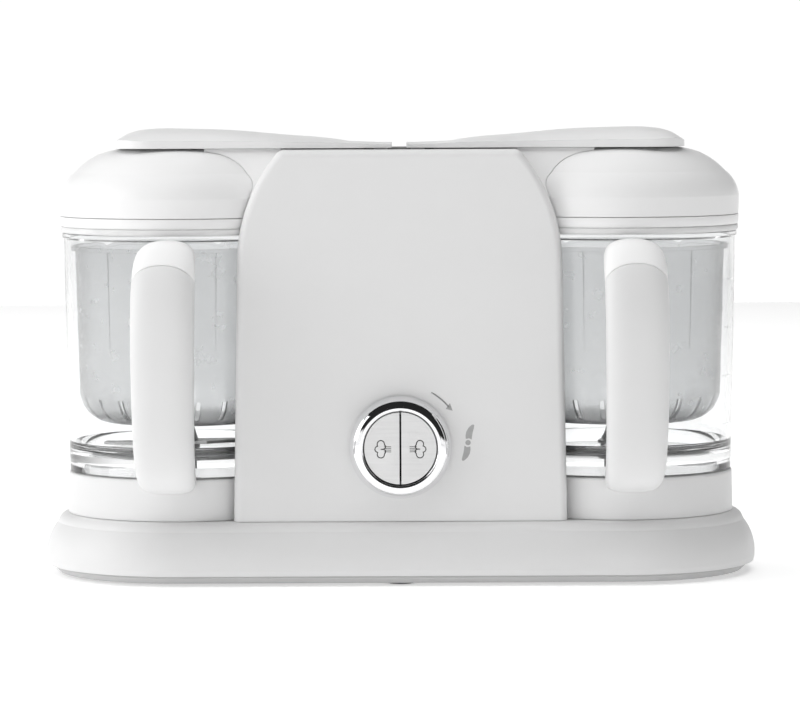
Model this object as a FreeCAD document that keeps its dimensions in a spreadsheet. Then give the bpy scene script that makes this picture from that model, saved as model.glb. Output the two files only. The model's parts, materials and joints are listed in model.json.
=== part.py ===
"""Twin-bowl baby food steamer and blender.

Units are millimetres. +Z is up, +X is to the user's right and -Y is the front.
The origin is on the table, under the middle of the overall box.
Depths are measured from the base's centre line, and heights from a level 3.3 mm above the table.
Pairs of pieces are made by loops over SIDES: -1 is the left bowl, +1 the right.
"""
import FreeCAD, Part
import math
import os
import Sketcher

SIDES = ((-1, "left"), (1, "right"))

DIMENSIONS = (
    ("centre_shift", 14.7, "from the middle of the overall depth back to the base's centre line"),
    ("bowl_offset", 118.0, "bowl axis from the middle of the machine"),
    ("base_radius", 74.5, "end radius of the base at its widest"),
    ("deck_radius", 62.5, "where the flat deck ends and the skirt begins"),
    ("deck_height", 30.0, "top of the base"),
    ("table_gap", 3.3, "from the table up to the level that heights are measured from"),
    ("skirt_bottom", 2.3, "lower edge of the base shell"),
    ("shell_wall", 2.5, "wall of the white shells"),
    ("tray_radius", 70.5, "end radius of the bottom tray"),
    ("tray_bottom", -2.1, "underside of the bottom tray"),
    ("foot_radius", 8.0, "rubber foot"),
    ("pedestal_radius", 62.0, "round pedestal under each bowl"),
    ("pedestal_top", 52.4, "top of the pedestal"),
    ("bowl_foot_radius", 61.4, "bowl, at its foot"),
    ("bowl_rim_radius", 63.5, "bowl, at its rim"),
    ("bowl_bottom", 53.0, "lower edge of the bowl's foot ring"),
    ("bowl_floor", 62.0, "inside of the bowl's floor"),
    ("bowl_rim", 181.0, "rim of the bowl"),
    ("bowl_wall", 2.8, "wall of the bowl"),
    ("bowl_turn", 3.3, "outward turn of each bowl and handle, in degrees"),
    ("basket_radius", 57.6, "steam basket under its flange"),
    ("basket_bottom", 79.0, "underside of the steam basket"),
    ("basket_flange", 174.0, "top of the steam basket's flange"),
    ("handle_reach", 103.5, "front of the handle from the bowl's axis"),
    ("handle_width", 33.0, "handle, side to side"),
    ("lid_radius", 65.6, "lid band"),
    ("lid_bottom", 184.6, "lower edge of the lid rim"),
    ("lid_parting", 190.2, "joint between lid rim and dome"),
    ("lid_shoulder", 200.5, "where the dome starts to curve in"),
    ("dome_top", 226.4, "flat top of the dome"),
    ("arm_underside", 226.7, "underside of the arm"),
    ("arm_tip", 4.0, "inner end of the arm from the middle"),
    ("arm_end", 153.0, "outer end of the arm from the middle"),
    ("arm_half_depth", 38.0, "half the arm's depth, front to back"),
    ("arm_crown", 237.0, "highest point of the arm"),
    ("recess_half_depth", 40.4, "half the depth of the hinge recess in the tower's top"),
    ("hinge_offset", 10.0, "lid hinge axis from the middle"),
    ("hinge_height", 221.5, "lid hinge axis"),
    ("pin_radius", 1.6, "hinge pin"),
    ("tower_front", 63.5, "flat front of the tower from the base's centre line"),
    ("tower_rear", 60.0, "flat back of the tower from the base's centre line"),
    ("tower_half_foot", 88.2, "half the tower's width at the deck"),
    ("tower_half_shoulder", 85.7, "half the tower's width at the shoulder"),
    ("tower_shoulder", 168.0, "height where the shoulder starts"),
    ("shoulder_radius", 90.0, "large radius of the tower's shoulders"),
    ("tower_top", 226.0, "top of the tower"),
    ("scoop_radius", 66.7, "hollow in the tower's side around each bowl"),
    ("cover_split", 12.0, "joint between front and rear cover, in front of the centre line"),
    ("knob_height", 69.5, "centre of the control knob"),
    ("knob_radius", 27.2, "chrome ring"),
    ("knob_bore", 19.7, "inside of the chrome ring"),
    ("button_radius", 19.0, "half-round push buttons"),
    ("guide_bore", 17.6, "inside of the sleeve that the buttons' stems pass through"),
    ("motor_offset", 27.0, "motor axis from the middle"),
    ("motor_back", 10.0, "motor axis behind the base's centre line"),
    ("motor_radius", 19.0, "motor can"),
    ("drive_pulley_radius", 24.0, "large belt pulley"),
    ("motor_pulley_radius", 8.0, "small belt pulley"),
    ("shaft_radius", 3.0, "blade drive shaft"),
    ("tank_offset", 35.5, "water tank from the middle"),
    ("tank_bottom", 124.0, "lower edge of the water tank"),
    ("tank_top", 210.0, "shoulder of the water tank"),
)

doc = FreeCAD.newDocument("baby_food_maker")
sheet = doc.addObject("Spreadsheet::Sheet", "dims")
subparts = []


class Size:
    """A length with the sheet expression that gives it."""

    def __init__(self, value, text):
        self.value = value
        self.text = text

    def __add__(self, other):
        return combine(self, "+", other, self.value + number(other))

    def __radd__(self, other):
        return combine(other, "+", self, number(other) + self.value)

    def __sub__(self, other):
        return combine(self, "-", other, self.value - number(other))

    def __rsub__(self, other):
        return combine(other, "-", self, number(other) - self.value)

    def __mul__(self, other):
        return combine(self, "*", other, self.value * number(other))

    def __rmul__(self, other):
        return combine(other, "*", self, number(other) * self.value)

    def __neg__(self):
        return combine(-1.0, "*", self, -self.value)


def number(size):
    """The plain value of a Size or of a number."""
    return size.value if isinstance(size, Size) else float(size)


def expression(size):
    """The sheet expression of a Size, or a number as text."""
    return size.text if isinstance(size, Size) else repr(float(size))


def combine(left, sign, right, value):
    return Size(value, "(%s %s %s)" % (expression(left), sign, expression(right)))


def fill_sheet():
    """Write the driving dimensions and return them by name."""
    sizes = {}
    for row, (alias, value, note) in enumerate(DIMENSIONS, start=1):
        sheet.set("A%d" % row, alias)
        sheet.set("B%d" % row, repr(value))
        sheet.set("C%d" % row, note)
        sheet.setAlias("B%d" % row, alias)
        sizes[alias] = Size(value, "dims." + alias)
    doc.recompute()
    return sizes


dim = fill_sheet()


def bind(target, name, size):
    """Set a property, or bind it to the sheet when the size comes from there."""
    if isinstance(size, Size):
        target.setExpression(name, size.text)
    else:
        target.setExpression(name, repr(float(size)))


def place(target, x=0.0, y=0.0, z=0.0, turn=0.0):
    """Place an object, turned about +Z, with all coordinates bound to the sheet."""
    turned = FreeCAD.Rotation(FreeCAD.Vector(0, 0, 1), number(turn))
    target.Placement = FreeCAD.Placement(FreeCAD.Vector(number(x), number(y), number(z)), turned)
    bind(target, "Placement.Base.x", x)
    bind(target, "Placement.Base.y", y)
    bind(target, "Placement.Base.z", z)
    if isinstance(turn, Size):
        target.setExpression("Placement.Rotation.Angle", turn.text)


def keep(target, label, x=0.0, y=0.0, z=0.0, turn=0.0):
    """Name a finished sub-part and move it into the machine's frame."""
    target.Label = label
    place(target, x, y + dim["centre_shift"], z + dim["table_gap"], turn)
    subparts.append(target)
    return target


# ---------------------------------------------------------------- sketches and features

def new_body(name):
    return doc.addObject("PartDesign::Body", name)


def plane_of(body, role):
    return [plane for plane in body.Origin.OriginFeatures if plane.Role == role][0]


def new_sketch(body, name, role, offset=0.0, shift=0.0):
    """A sketch on an origin plane, moved along its normal and sideways."""
    sketch = body.newObject("Sketcher::SketchObject", name)
    sketch.AttachmentSupport = [(plane_of(body, role), "")]
    sketch.MapMode = "FlatFace"
    bind(sketch, ".AttachmentOffset.Base.x", shift)
    bind(sketch, ".AttachmentOffset.Base.z", offset)
    return sketch


def pin_point(sketch, edge, end, u, v):
    """Fix one end of an edge by its distances from the sketch's origin."""
    if number(u) == 0.0 and not isinstance(u, Size):
        sketch.addConstraint(Sketcher.Constraint("PointOnObject", edge, end, -2))
    else:
        index = sketch.addConstraint(Sketcher.Constraint("DistanceX", -1, 1, edge, end, number(u)))
        bind_constraint(sketch, index, u)
    if number(v) == 0.0 and not isinstance(v, Size):
        sketch.addConstraint(Sketcher.Constraint("PointOnObject", edge, end, -1))
    else:
        index = sketch.addConstraint(Sketcher.Constraint("DistanceY", -1, 1, edge, end, number(v)))
        bind_constraint(sketch, index, v)


def bind_constraint(sketch, index, size):
    if isinstance(size, Size):
        sketch.setExpression("Constraints[%d]" % index, size.text)


def arc_through(start, finish, sag):
    """An arc that stands out by sag on the right-hand side of its chord."""
    chord = finish.sub(start)
    side = FreeCAD.Vector(chord.y, -chord.x, 0)
    side.normalize()
    radius = (chord.Length ** 2 / 4.0 + sag ** 2) / (2.0 * abs(sag))
    towards_centre = sag - math.copysign(radius, sag)
    centre = (start + finish) * 0.5 + side * towards_centre
    circle = Part.Circle(centre, FreeCAD.Vector(0, 0, 1), radius)
    first, last = (start, finish) if sag > 0 else (finish, start)
    begin = math.atan2(first.y - centre.y, first.x - centre.x)
    end = math.atan2(last.y - centre.y, last.x - centre.x)
    if end < begin:
        end += 2.0 * math.pi
    return Part.ArcOfCircle(circle, begin, end)


def draw_outline(sketch, points):
    """Close an outline. A third number on a point bows its next edge out by that much."""
    places = [FreeCAD.Vector(number(point[0]), number(point[1]), 0) for point in points]
    ends = []
    for index, point in enumerate(points):
        start = places[index]
        finish = places[(index + 1) % len(places)]
        if len(point) == 3:
            edge = sketch.addGeometry(arc_through(start, finish, point[2]), False)
            forward = (sketch.Geometry[edge].StartPoint - start).Length < 1e-6
            ends.append((edge, 1 if forward else 2, 2 if forward else 1))
            arc = sketch.Geometry[edge]
            sketch.addConstraint(Sketcher.Constraint("Radius", edge, arc.Radius))
        else:
            edge = sketch.addGeometry(Part.LineSegment(start, finish), False)
            ends.append((edge, 1, 2))
    for index, (edge, first, last) in enumerate(ends):
        following = ends[(index + 1) % len(ends)]
        sketch.addConstraint(Sketcher.Constraint("Coincident", edge, last, following[0], following[1]))
    for (edge, first, last), point in zip(ends, points):
        pin_point(sketch, edge, first, point[0], point[1])
    return sketch


def draw_circle(sketch, u, v, radius):
    centre = FreeCAD.Vector(number(u), number(v), 0)
    edge = sketch.addGeometry(Part.Circle(centre, FreeCAD.Vector(0, 0, 1), number(radius)), False)
    index = sketch.addConstraint(Sketcher.Constraint("Radius", edge, number(radius)))
    bind_constraint(sketch, index, radius)
    pin_point(sketch, edge, 3, u, v)
    return sketch


def draw_box(sketch, left, right, low, high):
    return draw_outline(sketch, [(left, low), (right, low), (right, high), (left, high)])


def revolve(body, sketch):
    """Turn a sketch all the way round its vertical axis."""
    feature = body.newObject("PartDesign::Revolution", sketch.Name + "_turned")
    feature.Profile = sketch
    feature.ReferenceAxis = (sketch, ["V_Axis"])
    feature.Angle = 360.0


def pad(body, sketch, length, reverse=False):
    feature = body.newObject("PartDesign::Pad", sketch.Name + "_pad")
    feature.Profile = sketch
    feature.Reversed = reverse
    bind(feature, "Length", length)
    return feature


def pocket(body, sketch, length, reverse=False):
    """Cut a sketch into its body, and make sure that something was removed."""
    doc.recompute()
    before = body.Shape.Volume
    feature = body.newObject("PartDesign::Pocket", sketch.Name + "_pocket")
    feature.Profile = sketch
    feature.Reversed = reverse
    bind(feature, "Length", length)
    doc.recompute()
    if body.Shape.Volume > before - 0.5:
        raise ValueError("%s removed nothing" % feature.Name)
    return feature


def polar(body, feature, count):
    """Repeat a feature evenly about +Z."""
    pattern = body.newObject("PartDesign::PolarPattern", feature.Name + "_ring")
    pattern.Originals = [feature]
    pattern.Axis = (plane_of(body, "Z_Axis"), [""])
    pattern.Angle = 360.0
    pattern.Occurrences = count
    body.Tip = pattern


def fillet(body, feature, radius, test):
    """Round the edges of a feature whose centre passes the test."""
    doc.recompute()
    names = []
    for index, edge in enumerate(feature.Shape.Edges, start=1):
        if test(edge.CenterOfMass, edge):
            names.append("Edge%d" % index)
    rounded = body.newObject("PartDesign::Fillet", feature.Name + "_soft")
    rounded.Base = (feature, names)
    rounded.Radius = radius
    return rounded


def round_body(name, profile):
    """A body of revolution about +Z from (radius, height) points."""
    body = new_body(name)
    revolve(body, draw_outline(new_sketch(body, name + "_profile", "XZ_Plane"), profile))
    return body


# ---------------------------------------------------------------- primitives and booleans

def cylinder(name, radius, height, x=0.0, y=0.0, z=0.0):
    shape = doc.addObject("Part::Cylinder", name)
    bind(shape, "Radius", radius)
    bind(shape, "Height", height)
    place(shape, x, y, z)
    return shape


def lying_cylinder(name, radius, length, x, y, z):
    """A cylinder that runs towards +Y from its place."""
    shape = doc.addObject("Part::Cylinder", name)
    bind(shape, "Radius", radius)
    bind(shape, "Height", length)
    lying = FreeCAD.Rotation(FreeCAD.Vector(1, 0, 0), -90)
    shape.Placement = FreeCAD.Placement(FreeCAD.Vector(number(x), number(y), number(z)), lying)
    bind(shape, "Placement.Base.x", x)
    bind(shape, "Placement.Base.y", y)
    bind(shape, "Placement.Base.z", z)
    return shape


def box(name, low, high):
    """A box from its lowest corner to its highest corner."""
    shape = doc.addObject("Part::Box", name)
    bind(shape, "Length", high[0] - low[0])
    bind(shape, "Width", high[1] - low[1])
    bind(shape, "Height", high[2] - low[2])
    place(shape, *low)
    return shape


def fuse(name, shapes):
    result = doc.addObject("Part::MultiFuse", name)
    result.Shapes = shapes
    return result


def cut(name, base, tools):
    result = doc.addObject("Part::Cut", name)
    result.Base = base
    result.Tool = tools[0] if len(tools) == 1 else fuse(name + "_tools", tools)
    return result


def common(name, base, tool):
    result = doc.addObject("Part::Common", name)
    result.Base = base
    result.Tool = tool
    return result


def group(name, shapes):
    result = doc.addObject("Part::Compound", name)
    result.Links = shapes
    return result


# ---------------------------------------------------------------- base

def base_profile(inset, low):
    """Half section of the base: flat deck, soft edge and flared skirt."""
    top = dim["deck_height"] - inset
    edge = dim["base_radius"] - inset
    return [
        (0.0, low),
        (edge - 0.6, low),
        (edge, low + 3.0, 2.0),
        (edge - 6.4, top - 5.0, 1.3),
        (dim["deck_radius"] - inset, top),
        (0.0, top),
    ]


def long_solid(name, profile):
    """A stadium: the half section turned at both ends and drawn straight between."""
    ends = []
    for side, word in SIDES:
        body = round_body("%s_%s_end" % (name, word), profile)
        place(body, dim["bowl_offset"] * side)
        ends.append(body)
    middle = new_body(name + "_middle")
    section = new_sketch(middle, name + "_section", "YZ_Plane", -dim["bowl_offset"])
    right_half = profile[1:-1]
    draw_outline(section, right_half + mirrored(right_half))
    pad(middle, section, dim["bowl_offset"] * 2)
    return fuse(name, ends + [middle])


def make_base():
    outside = long_solid("base_outside", base_profile(0.0, dim["skirt_bottom"]))
    inside = long_solid("base_inside", base_profile(dim["shell_wall"], dim["skirt_bottom"] - 4.0))
    holes = [inside, box("wiring_opening", (-44.0, -34.0, 20.0), (44.0, 34.0, 35.0))]
    for side, word in SIDES:
        holes.append(cylinder(word + "_shaft_opening", 9.0, 20.0, dim["bowl_offset"] * side, 0.0, 20.0))
    keep(cut("base", outside, holes), "base_shell")

    rim = dim["tray_radius"]
    low = dim["tray_bottom"]
    tray = long_solid("tray", [(0.0, low), (rim - 3.0, low), (rim, low + 3.0), (rim, low + 4.8), (0.0, low + 4.8)])
    sunk = []
    for index, (x, y) in enumerate(screw_places(), start=1):
        sunk.append(cylinder("tray_hole_%d" % index, 3.4, 10.0, x, y, low - 2.0))
    keep(cut("drilled_tray", tray, sunk), "bottom_tray")

    screws = []
    for index, (x, y) in enumerate(screw_places(), start=1):
        screws.append(cylinder("screw_head_%d" % index, 3.2, 2.0, x, y, low + 0.6))
        screws.append(cylinder("screw_shank_%d" % index, 1.7, 9.0, x, y, low + 2.6))
    pairs = [fuse("tray_screw_%d" % (row + 1), screws[2 * row:2 * row + 2]) for row in range(len(screws) // 2)]
    keep(group("screws", pairs), "tray_screws")

    feet = []
    for index, (x, y) in enumerate(foot_places(), start=1):
        body = round_body("foot_%d" % index, [
            (0.0, -dim["table_gap"]), (dim["foot_radius"] - 0.8, -dim["table_gap"]),
            (dim["foot_radius"], 0.8 - dim["table_gap"]), (dim["foot_radius"], low), (0.0, low)])
        place(body, x, y)
        feet.append(body)
    keep(group("feet", feet), "rubber_feet")


def foot_places():
    """Four feet under the bowls and two under the front and back of the tower."""
    reach = dim["bowl_offset"] + 20.0
    return [(-reach, -46.0), (reach, -46.0), (-reach, 46.0), (reach, 46.0), (0.0, -56.0), (0.0, 56.0)]


def screw_places():
    near = dim["bowl_offset"] - 52.0
    far = dim["bowl_offset"] + 58.0
    return [(-near, -56.0), (near, -56.0), (-near, 56.0), (near, 56.0), (-far, 0.0), (far, 0.0)]


def make_pedestal(side, word):
    """Round pedestal: drafted wall, top with a well, and a boss for the bearing."""
    low = dim["deck_height"] + 0.2
    top = dim["pedestal_top"]
    rim = dim["pedestal_radius"]
    body = round_body(word + "_pedestal_turned", [
        (6.0, low + 2.0), (19.5, low + 2.0), (19.5, top - 3.0), (rim - 3.0, top - 3.0), (rim - 2.6, low),
        (rim + 0.4, low), (rim, top - 1.6, 0.45), (rim - 1.6, top), (17.0, top), (17.0, low + 6.0),
        (6.0, low + 6.0)])
    keep(body, word + "_pedestal", dim["bowl_offset"] * side)


def make_bushes():
    """Brass bushes that carry the drive shafts in the pedestals."""
    low = dim["deck_height"] + 0.2
    bushes = []
    for side, word in SIDES:
        bush = round_body(word + "_bush_turned", [
            (dim["shaft_radius"] + 0.06, low), (6.0, low), (6.0, low + 6.0), (9.0, low + 6.0), (9.0, low + 7.5),
            (dim["shaft_radius"] + 0.06, low + 7.5)])
        place(bush, dim["bowl_offset"] * side)
        bushes.append(bush)
    keep(group("bushes", bushes), "bearing_bushes")


# ---------------------------------------------------------------- tower

def bow(radius, turn):
    """How far an arc of this radius and turn (radians) stands out from its chord."""
    return radius * (1.0 - math.cos(turn / 2.0))


def shoulder_points(inset):
    """Right half of the tower's outline: drafted side, large shoulder and small top corner.

    Each arc starts in the direction in which the piece before it ends.
    """
    inset = number(inset)
    foot = number(dim["tower_half_foot"]) - inset
    side = number(dim["tower_half_shoulder"]) - inset
    low = number(dim["deck_height"]) + 0.1 - inset
    start = number(dim["tower_shoulder"])
    top = number(dim["tower_top"]) - inset
    radius = number(dim["shoulder_radius"]) - inset
    corner = 1.6
    lean = math.atan((foot - side) / (start - low))
    steep = math.asin((top - corner - start) / radius + math.sin(lean))
    drop = radius * (math.cos(lean) - math.cos(steep))
    middle = (steep + math.pi / 2.0) / 2.0
    corner_turn = math.pi / 2.0 - steep
    corner_run = corner * math.tan(middle)
    corner_radius = math.hypot(corner, corner_run) / (2.0 * math.sin(corner_turn / 2.0))
    return [
        (foot, low),
        (side, start, bow(radius, steep - lean)),
        (side - drop, top - corner, bow(corner_radius, corner_turn)),
        (side - drop - corner_run, top),
    ]


def mirrored(points):
    """An outline's left half, from its right half, keeping the bows on the same edges."""
    left = []
    for index in range(len(points) - 1, -1, -1):
        bows = tuple(points[index - 1][2:]) if index > 0 else ()
        left.append((-points[index][0], points[index][1]) + bows)
    return left


def tower_block(name, inset, front, rear):
    """The tower between two depths, with its shouldered outline."""
    body = new_body(name)
    face = new_sketch(body, name + "_face", "XZ_Plane", front)
    right_half = shoulder_points(inset)
    draw_outline(face, right_half + mirrored(right_half))
    block = pad(body, face, front - rear, reverse=True)
    return body, block


def scoops(name, inset):
    """The two round clearances that the tower leaves for bowls and lids."""
    return [cylinder("%s_%s_scoop" % (name, word), dim["scoop_radius"] + inset, 230.0, dim["bowl_offset"] * side)
            for side, word in SIDES]


def tower_shell(name, front, rear, soft_end):
    """One half of the tower casing, open towards the other half."""
    outer, block = tower_block(name + "_outer", 0.0, front, rear)
    level = -number(front) if soft_end == "front" else -number(rear)
    softened = fillet(outer, block, 4.0, lambda centre, edge: abs(centre.y - level) < 0.01 and centre.z > 31.0)
    outer.Tip = softened
    thick = dim["shell_wall"]
    if soft_end == "front":
        inner = tower_block(name + "_inner", thick, front - thick, rear - 5.0)[0]
    else:
        inner = tower_block(name + "_inner", thick, front + 5.0, rear + thick)[0]
    hollow = cut(name + "_hollow", inner, scoops(name + "_inner", thick))
    return outer, hollow


def make_tower():
    split = dim["cover_split"]
    outer, hollow = tower_shell("front", dim["tower_front"], split + 0.1, "front")
    deep = dim["recess_half_depth"]
    recess = box("front_recess", (-19.0, -deep, 211.0), (19.0, 0.0, 230.0))
    bore = lying_cylinder("knob_opening", dim["knob_bore"] + 3.6, 20.0, 0.0, -dim["tower_front"] - 5.0,
                          dim["knob_height"])
    tools = [hollow, recess, bore] + scoops("front", 0.0)
    keep(cut("front_casing", outer, tools), "tower_front_cover")

    outer, hollow = tower_shell("rear", split - 0.1, -dim["tower_rear"], "rear")
    tools = [hollow, box("rear_recess", (-19.0, -20.0, 211.0), (19.0, deep, 230.0))] + scoops("rear", 0.0)
    for side, word in SIDES:
        tools.append(cylinder(word + "_filler_opening", 12.5, 20.0, dim["tank_offset"] * side, 8.0, 215.0))
    for row in range(7):
        height = 60.0 + 9.0 * row
        tools.append(box("vent_%d" % (row + 1), (-32.0, 50.0, height), (32.0, 66.0, height + 3.6)))
    tools.append(lying_cylinder("gland_opening", 6.2, 20.0, 0.0, 50.0, 43.0))
    keep(cut("rear_casing", outer, tools), "tower_rear_cover")

    gland = round_body("gland_turned", [
        (3.6, 0.0), (8.5, 0.0), (8.5, 1.6), (6.1, 1.6), (6.1, 4.6), (8.5, 4.6), (8.0, 7.0), (6.0, 13.5), (3.6, 13.5)])
    gland.Label = "gland_body"
    holder = group("gland", [gland])
    gland.Placement = FreeCAD.Placement(FreeCAD.Vector(0, 55.6, 43.0),
                                        FreeCAD.Rotation(FreeCAD.Vector(1, 0, 0), -90))
    keep(holder, "cord_gland")


def make_hinges():
    """A bracket in the tower's top recess holds one steel pin for each lid."""
    offset = dim["hinge_offset"]
    level = dim["hinge_height"]
    pin = dim["pin_radius"]
    floor_top = 213.4
    deep = dim["recess_half_depth"]
    block = box("bracket_block", (-18.8, 0.2 - deep, 211.2), (18.8, deep - 0.2, 225.6))
    space = box("bracket_space", (-17.4, 1.4 - deep, floor_top), (17.4, deep - 1.4, 228.0))
    pieces = [cut("bracket_tray", block, [space])]
    holes = []
    for side, word in SIDES:
        for index, near in enumerate((-37.0, -3.5, 30.0), start=1):
            name = "%s_ear_%d" % (word, index)
            pieces.append(box(name, (offset * side - 3.4, near, floor_top - 0.5), (offset * side + 3.4, near + 7.0, level)))
            pieces.append(lying_cylinder(name + "_head", 3.4, 7.0, offset * side, near, level))
        holes.append(lying_cylinder(word + "_pin_hole", pin, 90.0, offset * side, -45.0, level))
    keep(cut("bracket", fuse("bracket_pieces", pieces), holes), "hinge_bracket")
    pins = [lying_cylinder(word + "_pin", pin, 74.0, offset * side, -37.0, level) for side, word in SIDES]
    keep(group("pins", pins), "hinge_pins")


# ---------------------------------------------------------------- water, heat and drive

def make_tanks():
    """Water tanks with round filler necks that come up under the arms."""
    low = dim["tank_bottom"]
    top = dim["tank_top"]
    tanks = []
    for side, word in SIDES:
        x = dim["tank_offset"] * side
        outer = box(word + "_tank_block", (x - 12.5, -36.0, low), (x + 12.5, 36.0, top))
        neck = cylinder(word + "_tank_neck", 12.0, 224.4 - top, x, 8.0, top)
        inner = box(word + "_tank_space", (x - 11.1, -34.6, low - 1.0), (x + 11.1, 34.6, top - 1.4))
        mouth = cylinder(word + "_tank_mouth", 10.6, 225.6 - (top - 3.0), x, 8.0, top - 3.0)
        tanks.append(cut(word + "_tank_cut", fuse(word + "_tank_walls", [outer, neck]), [inner, mouth]))
    keep(group("tanks", tanks), "water_tanks")


def make_heat():
    plates = []
    gaskets = []
    for side, word in SIDES:
        x = dim["tank_offset"] * side
        plates.append(box(word + "_plate", (x - 12.5, -36.0, dim["tank_bottom"] - 4.0),
                          (x + 12.5, 36.0, dim["tank_bottom"])))
        ring = round_body(word + "_ring", [(10.6, 224.4), (12.0, 224.4), (12.0, 226.0, 0.3), (10.6, 226.0)])
        place(ring, x, 8.0)
        gaskets.append(ring)
    keep(group("plates", plates), "heater_plates")
    keep(group("gaskets", gaskets), "filler_gaskets")


def motor_place(side):
    return (dim["motor_offset"] * side, dim["motor_back"])


def make_motors():
    can = dim["motor_radius"]
    motors = []
    for side, word in SIDES:
        motor = round_body(word + "_can", [
            (2.56, 30.6), (9.0, 30.6), (9.0, 33.2), (can - 1.0, 33.2), (can, 34.2), (can, 92.0), (can - 2.0, 94.0),
            (7.0, 94.0), (7.0, 97.0), (2.56, 97.0)])
        x, y = motor_place(side)
        place(motor, x, y)
        motors.append(motor)
    keep(group("cans", motors), "motors")


def make_belts():
    """Flat belts from the small motor pulleys to the large pulleys under the bowls."""
    belts = []
    for side, word in SIDES:
        motor_x, motor_y = motor_place(side)
        belt = doc.addObject("Part::Feature", word + "_belt_loop")
        belt.Shape = belt_shape(dim["bowl_offset"] * side, 0.0, number(dim["drive_pulley_radius"]),
                                motor_x, motor_y, number(dim["motor_pulley_radius"]))
        belts.append(belt)
    keep(group("belts", belts), "drive_belts")


# face of the driving dog and height of its teeth, which stay below the bowl's foot ring
DOG_FACE = 48.3
DOG_TOOTH = 4.3


def make_drive(side, word):
    """Motor shaft and pulley, and the pulley, shaft and dog that turn the blade."""
    motor_x, motor_y = motor_place(side)
    shaft = dim["shaft_radius"]
    keep(cylinder(word + "_rotor_rod", 2.5, 92.0, 0.0, 0.0, 11.0), word + "_motor_shaft", motor_x, motor_y, 11.0)
    small = dim["motor_pulley_radius"]
    keep(pulley_body(word + "_small", small, 2.5), word + "_motor_pulley", motor_x, motor_y)

    x = dim["bowl_offset"] * side
    large = dim["drive_pulley_radius"]
    keep(pulley_body(word + "_large", large, shaft), word + "_drive_pulley", x)
    keep(cylinder(word + "_rod", shaft, 36.5, 0.0, 0.0, 10.5), word + "_drive_shaft", x, 0.0, 10.5)
    dog = round_body(word + "_dog_turned", [
        (shaft, 39.0), (11.0, 39.0), (15.4, 42.0), (15.4, DOG_FACE), (shaft, DOG_FACE)])
    teeth = new_sketch(dog, word + "_dog_face", "XY_Plane", DOG_FACE - 0.4)
    sector(teeth, 7.2, 14.6, 0.0, 14.0)
    polar(dog, pad(dog, teeth, DOG_TOOTH + 0.4), 3)
    keep(dog, word + "_drive_dog", x)


def sector(sketch, inner, outer, middle, half_angle):
    """A block between two radii, as wide as twice the half angle."""
    low = math.radians(middle - half_angle)
    high = math.radians(middle + half_angle)
    corners = [(inner, low), (outer, low), (outer, high), (inner, high)]
    draw_outline(sketch, [(reach * math.cos(turn), reach * math.sin(turn)) for reach, turn in corners])


def pulley_body(name, radius, bore):
    """A flanged pulley: the belt runs between heights 15 and 21 on the stated radius."""
    return round_body(name + "_pulley_turned", [
        (bore, 12.5), (radius + 2.0, 12.5), (radius + 2.0, 14.4), (radius, 14.4), (radius, 21.6),
        (radius + 2.0, 21.6), (radius + 2.0, 23.5), (bore, 23.5)])


def belt_shape(x, y, large, motor_x, motor_y, small):
    """A flat belt around both pulleys, clear of each by a running gap."""
    thick = 1.6
    gap = 0.25
    faces = []
    for grow in (gap, gap + thick):
        faces.append(loop_face(number(x), y, large + grow, number(motor_x), number(motor_y), small + grow))
    ring = faces[1].cut(faces[0])
    ring.translate(FreeCAD.Vector(0, 0, 15.2))
    return ring.extrude(FreeCAD.Vector(0, 0, 5.6))


def loop_face(x, y, large, other_x, other_y, small):
    """The face inside an open belt line around two circles."""
    start = FreeCAD.Vector(x, y, 0)
    finish = FreeCAD.Vector(other_x, other_y, 0)
    line = finish - start
    heading = math.atan2(line.y, line.x)
    lean = math.acos((large - small) / line.Length)

    def rim(centre, radius, angle):
        return centre + FreeCAD.Vector(radius * math.cos(angle), radius * math.sin(angle), 0)

    upper = heading + lean
    lower = heading - lean
    edges = [
        Part.LineSegment(rim(start, large, upper), rim(finish, small, upper)).toShape(),
        Part.Arc(rim(finish, small, upper), rim(finish, small, heading), rim(finish, small, lower)).toShape(),
        Part.LineSegment(rim(finish, small, lower), rim(start, large, lower)).toShape(),
        Part.Arc(rim(start, large, lower), rim(start, large, heading + math.pi), rim(start, large, upper)).toShape(),
    ]
    return Part.Face(Part.Wire(edges))


def make_electrics():
    board = box("board_blank", (0.0, 0.0, 0.0), (80.0, 1.6, 48.0))
    keep(board, "control_board", -40.0, -42.0, 44.0)
    switches = []
    for side, word in SIDES:
        switches.append(box(word + "_steam_switch", (side * 9.0 - 4.0, -46.4, dim["knob_height"] - 4.0),
                            (side * 9.0 + 4.0, -42.0, dim["knob_height"] + 4.0)))
    switches.append(box("blend_switch", (26.0, -49.0, 70.0), (34.0, -42.0, 84.0)))
    keep(group("switches", switches), "microswitches")
    shelf = box("motor_shelf", (-46.0, -44.0, 30.1), (46.0, 44.0, 33.1))
    holes = []
    for side, word in SIDES:
        x, y = motor_place(side)
        holes.append(cylinder(word + "_motor_seat", 9.2, 6.0, x, y, 28.0))
    keep(cut("motor_shelf_cut", shelf, holes), "motor_plate")


# ---------------------------------------------------------------- controls

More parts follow.
